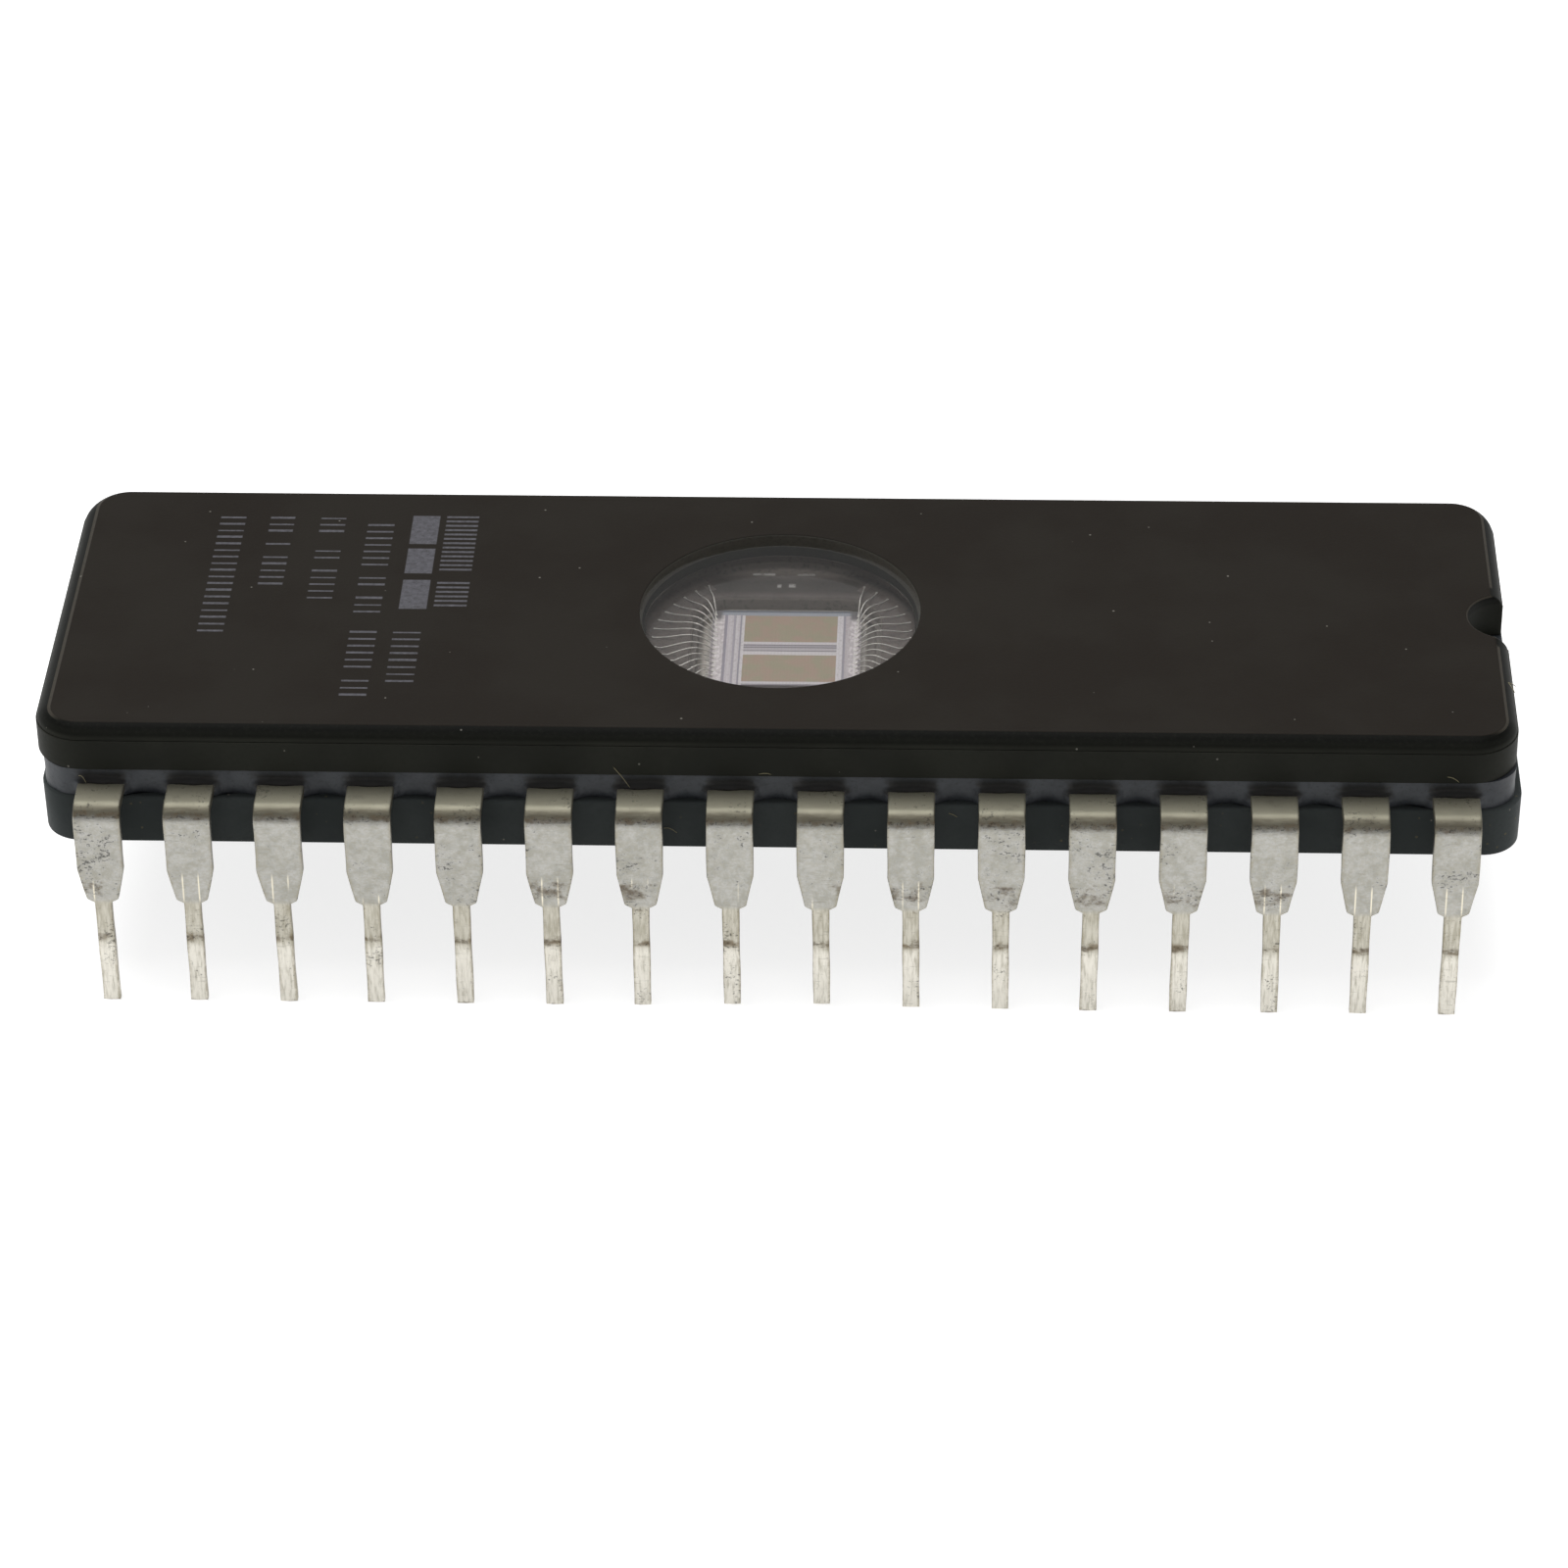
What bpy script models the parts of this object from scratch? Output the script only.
# Windowed ceramic dual-in-line memory chip standing on its thirty-two lead tips.
# A ceramic base and a ceramic lid are sealed together by glass that also grips the leads.
# Lengths are written in millimetres and turned to metres where a mesh is made.
# X runs along the lead rows, Y across them, and Z is up from the lead tips.
# The lid's end notch is at +X, and lead 1 stands beside it in the +Y row.

import math

import bmesh
import bpy
from mathutils import Vector

MM = 0.001

# Gap left between neighbouring solids
CLEARANCE = 0.01

# Lead rows
LEADS_PER_ROW = 16
LEAD_PITCH = 2.54

# Heights, from the lead tips upwards
STANDOFF = 4.50
BASE_HEIGHT = 1.54
SEAL_HEIGHT = 0.91
LID_HEIGHT = 1.385

# Body plan
BODY_WIDTH = 13.00
BASE_END_MARGIN = 1.875
BASE_SHIFT = 0.055
BASE_CORNER_RADIUS = 1.10
BASE_DRAFT = 0.045
BASE_EDGE_RADIUS = 0.10
LID_SHORTER = 0.09
LID_SHIFT = -0.08
LID_CORNER_RADIUS = 1.41
LID_EDGE_RADIUS = 0.395
LID_EDGE_UPRIGHT = 0.01
LID_LAND = 0.03
SEAL_INSET = 0.08
NOTCH_RADIUS = 1.12

# Window
WINDOW_DIAMETER = 8.08
WINDOW_MOUTH_RADIUS = 0.07
LENS_RECESS = 0.235
MENISCUS_RISE = 0.06
MENISCUS_WIDTH = 0.30
SEAL_OPENING_MARGIN = 0.26

# Die and its pocket
DIE_LENGTH = 4.36
DIE_WIDTH = 3.90
DIE_HEIGHT = 0.48
DIE_SHIFT = 0.06
ATTACH_HEIGHT = 0.04
ATTACH_MARGIN = 0.12
ATTACH_CORNER_RADIUS = 0.25
POCKET_DEPTH = 0.21
POCKET_MARGIN = 0.42
POCKET_CORNER_RADIUS = 1.00
SEAL_LEDGE_MARGIN = 0.15
FINGERS_PROUD = 0.04

# Lead strip outside the body
LEAD_THICKNESS = 0.25
LEAD_WIDTH = 1.32
GLASS_UNDER_LEAD = 0.19
SHOULDER_RUN = 0.806
BEND_RADIUS = 0.50
LEG_LEAN = math.radians(1.9)
PIN_WIDTH = 0.48
PIN_LENGTH = 3.35
SLOPE_LENGTH = 0.25
TAPER_LENGTH = 0.85
TAPER_WIDTH = 0.95

# Lead finger inside the glass
NECK_START = 0.30
NECK_END = 0.60
NECK_WIDTH = 0.55
FAN_WIDTH = 0.40
FAN_MARGIN = 1.16
TIP_WIDTH = 0.25
TIP_SETBACK = 0.49
LOW_TIP_ANGLE = math.radians(4.5)
HIGH_TIP_ANGLE = math.radians(53.0)

# Bond wires
WIRE_DIAMETER = 0.04
WIRE_FOOT_SETBACK = 0.23
WIRE_FLAT = 0.10
LOOP_HEIGHT = 0.22
LOOP_SKEW = 1.6
PAD_INSET = 0.10
PAD_END_MARGIN = 0.20

# Facets
CORNER_SEGMENTS = 8
LID_EDGE_SEGMENTS = 5
BASE_EDGE_SEGMENTS = 2
MOUTH_SEGMENTS = 3
MENISCUS_SEGMENTS = 3
WINDOW_STEPS = 64
NOTCH_STEPS = 32
BEND_SEGMENTS = 6
LOOP_SEGMENTS = 6
SMOOTH_ANGLE = math.radians(35)
OVERCUT = 0.5
MERGE_DISTANCE = 1e-7

# Derived places
ROW_LENGTH = (LEADS_PER_ROW - 1) * LEAD_PITCH
BASE_LENGTH = ROW_LENGTH + 2 * BASE_END_MARGIN
LID_LENGTH = BASE_LENGTH - LID_SHORTER
HALF_WIDTH = BODY_WIDTH / 2
BASE_TOP = STANDOFF + BASE_HEIGHT
LID_BOTTOM = BASE_TOP + SEAL_HEIGHT
LID_TOP = LID_BOTTOM + LID_HEIGHT
LEAD_TOP = BASE_TOP + GLASS_UNDER_LEAD + LEAD_THICKNESS
WINDOW_RADIUS = WINDOW_DIAMETER / 2
POCKET_FLOOR = BASE_TOP - POCKET_DEPTH
ATTACH_BOTTOM = POCKET_FLOOR + CLEARANCE
DIE_BOTTOM = ATTACH_BOTTOM + ATTACH_HEIGHT + CLEARANCE
DIE_TOP = DIE_BOTTOM + DIE_HEIGHT
TIP_RADIUS = WINDOW_RADIUS - TIP_SETBACK
FAN_RADIUS = WINDOW_RADIUS + FAN_MARGIN

CERAMIC = ("black_ceramic", (0.016, 0.016, 0.014), 0.42, 0.0)
SEAL_GLASS = ("sealing_glass", (0.040, 0.042, 0.046), 0.30, 0.0)
CLEAR_GLASS = ("window_glass", (0.80, 0.80, 0.78), 0.05, 0.0)
SILICON = ("silicon", (0.34, 0.28, 0.22), 0.25, 0.4)
ATTACH = ("die_attach_paste", (0.22, 0.21, 0.20), 0.50, 0.6)
TIN_PLATE = ("tin_plate", (0.55, 0.54, 0.50), 0.38, 1.0)


def new_collection(name):
    collection = bpy.data.collections.new(name)
    bpy.context.scene.collection.children.link(collection)
    return collection


def clear_scene():
    for old in list(bpy.data.objects):
        bpy.data.objects.remove(old, do_unlink=True)
    for old in list(bpy.data.collections):
        bpy.data.collections.remove(old)


def make_material(finish):
    name, colour, roughness, metallic = finish
    material = bpy.data.materials.get(name)
    if material:
        return material
    material = bpy.data.materials.new(name)
    material.use_nodes = True
    shader = material.node_tree.nodes["Principled BSDF"]
    shader.inputs["Base Color"].default_value = (*colour, 1.0)
    shader.inputs["Roughness"].default_value = roughness
    shader.inputs["Metallic"].default_value = metallic
    return material


def add_object(name, mesh, collection, finish=None):
    piece = bpy.data.objects.new(name, mesh)
    collection.objects.link(piece)
    if finish:
        mesh.materials.append(make_material(finish))
    return piece


def add_cutter(name, mesh, collection):
    cutter = add_object(name, mesh, collection)
    cutter.hide_render = True
    cutter.display_type = "WIRE"
    return cutter


def combine(piece, cutter, operation):
    step = piece.modifiers.new(cutter.name, "BOOLEAN")
    step.operation = operation
    step.solver = "EXACT"
    step.object = cutter


def to_mesh(bm, name):
    """Scale a millimetre bmesh to metres and store it."""
    bmesh.ops.scale(bm, vec=(MM, MM, MM), verts=bm.verts)
    bmesh.ops.recalc_face_normals(bm, faces=bm.faces)
    mesh = bpy.data.meshes.new(name)
    bm.to_mesh(mesh)
    bm.free()
    return mesh


def face_at(bm, height):
    """The one flat face that lies at a height."""
    return next(f for f in bm.faces if all(abs(v.co.z - height) < 1e-4 for v in f.verts))


def block(length, width, bottom, top, corner, shift=0.0):
    """A plate with rounded plan corners, centred on the rows but for its shift."""
    bm = bmesh.new()
    bmesh.ops.create_cube(bm, size=1.0)
    bmesh.ops.scale(bm, vec=(length, width, top - bottom), verts=bm.verts)
    bmesh.ops.translate(bm, vec=(shift, 0.0, (top + bottom) / 2), verts=bm.verts)
    upright = [e for e in bm.edges if abs(e.verts[0].co.z - e.verts[1].co.z) > (top - bottom) / 2]
    bmesh.ops.bevel(
        bm, geom=upright, offset=corner, offset_type="OFFSET",
        segments=CORNER_SEGMENTS, profile=0.5, affect="EDGES",
    )
    return bm


def round_rim(bm, height, radius, segments):
    """Round the edges round the flat face at a height."""
    bmesh.ops.bevel(
        bm, geom=list(face_at(bm, height).edges), offset=radius, offset_type="OFFSET",
        segments=segments, profile=0.5, affect="EDGES",
    )


def cylinder(name, radius, bottom, top, centre, steps, collection):
    bm = bmesh.new()
    bmesh.ops.create_cone(
        bm, cap_ends=True, segments=steps, radius1=radius, radius2=radius, depth=top - bottom,
    )
    bmesh.ops.translate(bm, vec=(centre[0], centre[1], (top + bottom) / 2), verts=bm.verts)
    return add_cutter(name, to_mesh(bm, name), collection)


def turned(name, profile, centre_x, steps):
    """A profile of radius and height, from its top on the axis down its outer side, as a turned mesh."""
    bm = bmesh.new()
    verts = [bm.verts.new((radius * MM, 0.0, height * MM)) for radius, height in profile]
    for first, second in zip(verts, verts[1:]):
        bm.edges.new((first, second))
    mesh = bpy.data.meshes.new(name)
    bm.to_mesh(mesh)
    bm.free()
    piece = bpy.data.objects.new(name, mesh)
    piece.location.x = centre_x * MM
    screw = piece.modifiers.new("turn", "SCREW")
    screw.steps = steps
    screw.render_steps = steps
    screw.use_merge_vertices = True
    screw.merge_threshold = MERGE_DISTANCE
    return piece


def make_base(parts, cutters):
    bm = block(BASE_LENGTH, BODY_WIDTH, STANDOFF, BASE_TOP, BASE_CORNER_RADIUS, BASE_SHIFT)
    for vert in face_at(bm, STANDOFF).verts:
        vert.co.x -= math.copysign(BASE_DRAFT, vert.co.x - BASE_SHIFT)
        vert.co.y -= math.copysign(BASE_DRAFT, vert.co.y)
    round_rim(bm, STANDOFF, BASE_EDGE_RADIUS, BASE_EDGE_SEGMENTS)
    base = add_object("ceramic_base", to_mesh(bm, "ceramic_base"), parts, CERAMIC)
    pocket = block(
        DIE_LENGTH + 2 * POCKET_MARGIN, DIE_WIDTH + 2 * POCKET_MARGIN,
        POCKET_FLOOR, BASE_TOP + OVERCUT, POCKET_CORNER_RADIUS, DIE_SHIFT,
    )
    combine(base, add_cutter("die_pocket", to_mesh(pocket, "die_pocket"), cutters), "DIFFERENCE")
    return base


def make_lid(parts, cutters):
    """A pressed plate: an upright side, a narrow land where the die halves met, and a rounded top edge."""
    crown_height = LID_EDGE_RADIUS + LID_EDGE_UPRIGHT
    land_height = LID_TOP - crown_height
    bm = block(LID_LENGTH, BODY_WIDTH, LID_BOTTOM, land_height, LID_CORNER_RADIUS, LID_SHIFT)
    crown = face_at(bm, land_height)
    bmesh.ops.inset_individual(bm, faces=[crown], thickness=LID_LAND, use_even_offset=True)
    raised = bmesh.ops.extrude_discrete_faces(bm, faces=[crown])["faces"][0]
    bmesh.ops.translate(bm, vec=(0.0, 0.0, crown_height), verts=raised.verts)
    round_rim(bm, LID_TOP, LID_EDGE_RADIUS, LID_EDGE_SEGMENTS)
    lid = add_object("ceramic_lid", to_mesh(bm, "ceramic_lid"), parts, CERAMIC)

    mouth = [(0.0, LID_TOP + OVERCUT)]
    mouth.append((WINDOW_RADIUS + WINDOW_MOUTH_RADIUS, LID_TOP + OVERCUT))
    for step in range(MOUTH_SEGMENTS + 1):
        angle = math.pi / 2 * step / MOUTH_SEGMENTS
        radius = WINDOW_RADIUS + WINDOW_MOUTH_RADIUS * (1 - math.sin(angle))
        mouth.append((radius, LID_TOP - WINDOW_MOUTH_RADIUS * (1 - math.cos(angle))))
    mouth.append((WINDOW_RADIUS, LID_BOTTOM - OVERCUT))
    mouth.append((0.0, LID_BOTTOM - OVERCUT))
    hole = turned("window_hole", mouth, LID_SHIFT, WINDOW_STEPS)
    hole.hide_render = True
    hole.display_type = "WIRE"
    cutters.objects.link(hole)
    combine(lid, hole, "DIFFERENCE")

    notch_x = LID_SHIFT + LID_LENGTH / 2
    notch = cylinder(
        "end_notch", NOTCH_RADIUS, LID_BOTTOM - OVERCUT, LID_TOP + OVERCUT,
        (notch_x, 0.0), NOTCH_STEPS, cutters,
    )
    combine(lid, notch, "DIFFERENCE")
    return lid


def make_lens(parts):
    """A disc of glass fused in the lid's hole, its top edge drawn a little way up the wall."""
    radius = WINDOW_RADIUS - CLEARANCE
    top = LID_TOP - LENS_RECESS
    profile = [(0.0, top)]
    for step in range(MENISCUS_SEGMENTS + 1):
        share = step / MENISCUS_SEGMENTS
        profile.append((radius - MENISCUS_WIDTH * (1 - share), top + MENISCUS_RISE * share ** 2))
    profile.append((radius, LID_BOTTOM))
    profile.append((0.0, LID_BOTTOM))
    lens = turned("window_lens", profile, LID_SHIFT, WINDOW_STEPS)
    lens.data.materials.append(make_material(CLEAR_GLASS))
    parts.objects.link(lens)


def make_die(parts):
    attach = block(
        DIE_LENGTH + 2 * ATTACH_MARGIN, DIE_WIDTH + 2 * ATTACH_MARGIN,
        ATTACH_BOTTOM, ATTACH_BOTTOM + ATTACH_HEIGHT, ATTACH_CORNER_RADIUS, DIE_SHIFT,
    )
    add_object("die_attach", to_mesh(attach, "die_attach"), parts, ATTACH)
    bm = bmesh.new()
    bmesh.ops.create_cube(bm, size=1.0)
    bmesh.ops.scale(bm, vec=(DIE_LENGTH, DIE_WIDTH, DIE_HEIGHT), verts=bm.verts)
    bmesh.ops.translate(bm, vec=(DIE_SHIFT, 0.0, (DIE_BOTTOM + DIE_TOP) / 2), verts=bm.verts)
    add_object("silicon_die", to_mesh(bm, "silicon_die"), parts, SILICON)


def fan_rank(along):
    """How many leads lie between this one and the middle of its row."""
    return round(abs(along) / LEAD_PITCH - 0.5)


def fan_point(along, radius):
    """Where a lead's finger crosses a circle round the window's middle, in its row's own frame."""
    step = (HIGH_TIP_ANGLE - LOW_TIP_ANGLE) / (LEADS_PER_ROW / 2 - 1)
    angle = HIGH_TIP_ANGLE - fan_rank(along) * step
    return Vector((math.copysign(radius * math.cos(angle), along), radius * math.sin(angle)))


def finger_route(along, tip_radius, outer_end):
    """The finger's centre line and widths, from its tip to a point outside the glass."""
    return [
        (fan_point(along, tip_radius), TIP_WIDTH),
        (fan_point(along, FAN_RADIUS), FAN_WIDTH),
        (Vector((along, HALF_WIDTH - NECK_END)), NECK_WIDTH),
        (Vector((along, HALF_WIDTH - NECK_START)), LEAD_WIDTH),
        (Vector((along, outer_end)), LEAD_WIDTH),
    ]


def ribbon_edges(route, extra=0.0):
    """Both edges of a flat ribbon along a route, mitred at its corners and widened by extra a side."""
    edges = []
    last = len(route) - 1
    for index, (point, width) in enumerate(route):
        before = (point - route[max(index - 1, 0)][0]).normalized()
        after = (route[min(index + 1, last)][0] - point).normalized()
        heading = (before + after).normalized()
        side = Vector((-heading.y, heading.x))
        reach = (width / 2 + extra) / max(heading.dot(after if index == 0 else before), 0.5)
        edges.append((point + side * reach, point - side * reach))
    return edges


def add_ribbon(bm, sections):
    """Faces between neighbouring sections, each section a pair of points in millimetres."""
    rows = [[bm.verts.new(point) for point in pair] for pair in sections]
    for (left, right), (next_left, next_right) in zip(rows, rows[1:]):
        bm.faces.new((left, right, next_right, next_left))


def leg_profile():
    """Outer face of bend and leg as distance from the middle, height and half width.

    The tip is cut square to the leaning leg, so its inner edge is what touches the ground.
    """
    bend_y = HALF_WIDTH + SHOULDER_RUN
    bend_z = LEAD_TOP - BEND_RADIUS
    wide = LEAD_WIDTH / 2
    profile = []
    for step in range(BEND_SEGMENTS + 1):
        angle = (math.pi / 2 - LEG_LEAN) * step / BEND_SEGMENTS
        reach = BEND_RADIUS * math.sin(angle)
        profile.append((bend_y + reach, bend_z + BEND_RADIUS * math.cos(angle), wide))
    start_y, start_z, _ = profile[-1]
    slope_top = PIN_LENGTH + SLOPE_LENGTH
    cut_height = LEAD_THICKNESS * math.sin(LEG_LEAN)
    stations = [
        (slope_top + TAPER_LENGTH, wide),
        (slope_top, TAPER_WIDTH / 2),
        (PIN_LENGTH, PIN_WIDTH / 2),
        (cut_height, PIN_WIDTH / 2),
    ]
    for height, half in stations:
        profile.append((start_y + (start_z - height) * math.tan(LEG_LEAN), height, half))
    return profile


def thicken(piece, thickness):
    """Give an open sheet its thickness, on the side that its faces turn away from."""
    shell = piece.modifiers.new("thickness", "SOLIDIFY")
    shell.thickness = thickness * MM
    shell.offset = -1.0
    shell.use_even_offset = True
    shell.use_quality_normals = True


def sheet_mesh(ribbons, name):
    """One open mesh of all the ribbons, their faces turned up and outwards."""
    bm = bmesh.new()
    for sections in ribbons:
        add_ribbon(bm, sections)
    bmesh.ops.scale(bm, vec=(MM, MM, MM), verts=bm.verts)
    bm.faces.ensure_lookup_table()
    bm.normal_update()
    if bm.faces[0].normal.z < 0:
        bmesh.ops.reverse_faces(bm, faces=bm.faces)
    mesh = bpy.data.meshes.new(name)
    bm.to_mesh(mesh)
    bm.free()
    return mesh


def make_seal(parts, cutters):
    """Glass between base and lid, open over the die, with a slot for every finger."""
    bottom = BASE_TOP + CLEARANCE
    top = LID_BOTTOM - CLEARANCE
    inset = 2 * SEAL_INSET
    outline = block(
        LID_LENGTH - inset, BODY_WIDTH - inset, bottom, top,
        BASE_CORNER_RADIUS, (BASE_SHIFT + LID_SHIFT) / 2,
    )
    seal = add_object("sealing_glass", to_mesh(outline, "sealing_glass"), parts, SEAL_GLASS)
    margin = 2 * (POCKET_MARGIN + SEAL_LEDGE_MARGIN)
    well = block(
        DIE_LENGTH + margin, DIE_WIDTH + margin, bottom - OVERCUT, top + OVERCUT,
        POCKET_CORNER_RADIUS + SEAL_LEDGE_MARGIN, DIE_SHIFT,
    )
    combine(seal, add_cutter("seal_well", to_mesh(well, "seal_well"), cutters), "DIFFERENCE")
    opening = cylinder(
        "seal_opening", WINDOW_RADIUS + SEAL_OPENING_MARGIN, LEAD_TOP - FINGERS_PROUD,
        top + OVERCUT, (LID_SHIFT, 0.0), WINDOW_STEPS, cutters,
    )
    combine(seal, opening, "DIFFERENCE")

    ribbons = []
    for turn in (1, -1):
        for index in range(LEADS_PER_ROW):
            along = (index - (LEADS_PER_ROW - 1) / 2) * LEAD_PITCH
            route = finger_route(along, TIP_RADIUS - CLEARANCE, HALF_WIDTH + OVERCUT)
            ribbons.append([
                tuple(Vector((turn * p.x, turn * p.y, LEAD_TOP + CLEARANCE)) for p in pair)
                for pair in ribbon_edges(route, CLEARANCE)
            ])
    slots = add_cutter("finger_slots", sheet_mesh(ribbons, "finger_slots"), cutters)
    thicken(slots, LEAD_THICKNESS + 2 * CLEARANCE)
    combine(seal, slots, "DIFFERENCE")
    return seal


def wire_points(along, turn):
    """A bond wire from inside its finger, up in a loop and down to a flat foot on the die."""
    foot = fan_point(along, TIP_RADIUS + WIRE_FOOT_SETBACK)
    rank = fan_rank(along)
    ranks = LEADS_PER_ROW / 2
    pad_y = (DIE_WIDTH / 2 - PAD_END_MARGIN) * (ranks - 0.5 - rank) / (ranks - 0.5)
    pad_x = math.copysign(DIE_LENGTH / 2 - PAD_INSET, along) + turn * DIE_SHIFT
    pad = Vector((pad_x, pad_y))
    start_z = LEAD_TOP - WIRE_DIAMETER
    end_z = DIE_TOP + CLEARANCE + WIRE_DIAMETER / 2
    points = []
    for step in range(LOOP_SEGMENTS + 1):
        share = step / LOOP_SEGMENTS
        place = foot.lerp(pad, share)
        lift = LOOP_HEIGHT * math.sin(math.pi * share ** LOOP_SKEW)
        points.append(Vector((place.x, place.y, start_z + (end_z - start_z) * share + lift)))
    heading = (pad - foot).normalized()
    points.append(Vector((pad.x + heading.x * WIRE_FLAT, pad.y + heading.y * WIRE_FLAT, end_z)))
    return points


def make_wire(name, points, cutters):
    """A round wire along points, as a closed mesh that its lead is joined to."""
    curve = bpy.data.curves.new(name, "CURVE")
    curve.dimensions = "3D"
    curve.bevel_depth = WIRE_DIAMETER / 2 * MM
    curve.bevel_resolution = 1
    curve.use_fill_caps = True
    spline = curve.splines.new("POLY")
    spline.points.add(len(points) - 1)
    for spot, point in zip(spline.points, points):
        spot.co = (*(point * MM), 1.0)
    guide = bpy.data.objects.new(name + "_curve", curve)
    bpy.context.scene.collection.objects.link(guide)
    bpy.context.view_layer.update()
    evaluated = guide.evaluated_get(bpy.context.evaluated_depsgraph_get())
    mesh = bpy.data.meshes.new_from_object(evaluated)
    bpy.data.objects.remove(guide, do_unlink=True)
    bm = bmesh.new()
    bm.from_mesh(mesh)
    bmesh.ops.remove_doubles(bm, verts=bm.verts, dist=MERGE_DISTANCE)
    bmesh.ops.recalc_face_normals(bm, faces=bm.faces)
    bm.to_mesh(mesh)
    bm.free()
    return add_cutter(name, mesh, cutters)


def make_lead(number, along, row, turn, parts, cutters):
    """One stamped and bent strip, with its bond wire joined to the finger's tip."""
    name = f"lead_{number:02d}"
    bend_start = HALF_WIDTH + SHOULDER_RUN
    flat = ribbon_edges(finger_route(along, TIP_RADIUS, bend_start))[:-1]
    sections = [tuple(Vector((p.x - along, p.y, LEAD_TOP)) for p in pair) for pair in flat]
    for out, height, half in leg_profile():
        sections.append((Vector((-half, out, height)), Vector((half, out, height))))
    lead = add_object(name, sheet_mesh([sections], name), parts, TIN_PLATE)
    lead.location.x = along * MM
    lead.parent = row
    thicken(lead, LEAD_THICKNESS)
    points = [p - Vector((along, 0, 0)) for p in wire_points(along, turn)]
    wire = make_wire(name + "_wire", points, cutters)
    wire.location.x = along * MM
    wire.parent = row
    combine(lead, wire, "UNION")


def make_leads(parts, cutters):
    """Leads counted from the notch along the +Y row, then back along the -Y row."""
    for turn, row_name in ((1, "far_row"), (-1, "near_row")):
        row = bpy.data.objects.new(row_name, None)
        row.rotation_euler.z = 0.0 if turn > 0 else math.pi
        parts.objects.link(row)
        for index in range(LEADS_PER_ROW):
            along = ((LEADS_PER_ROW - 1) / 2 - index) * LEAD_PITCH
            number = index + 1 if turn > 0 else index + 1 + LEADS_PER_ROW
            make_lead(number, along, row, turn, parts, cutters)


def smooth_round_faces(piece):
    piece.data.shade_smooth()
    piece.data.set_sharp_from_angle(angle=SMOOTH_ANGLE)


def main():
    clear_scene()
    parts = new_collection("windowed_ceramic_chip")
    cutters = new_collection("cutters")
    smooth_round_faces(make_base(parts, cutters))
    smooth_round_faces(make_lid(parts, cutters))
    smooth_round_faces(make_seal(parts, cutters))
    make_lens(parts)
    make_die(parts)
    make_leads(parts, cutters)


main()
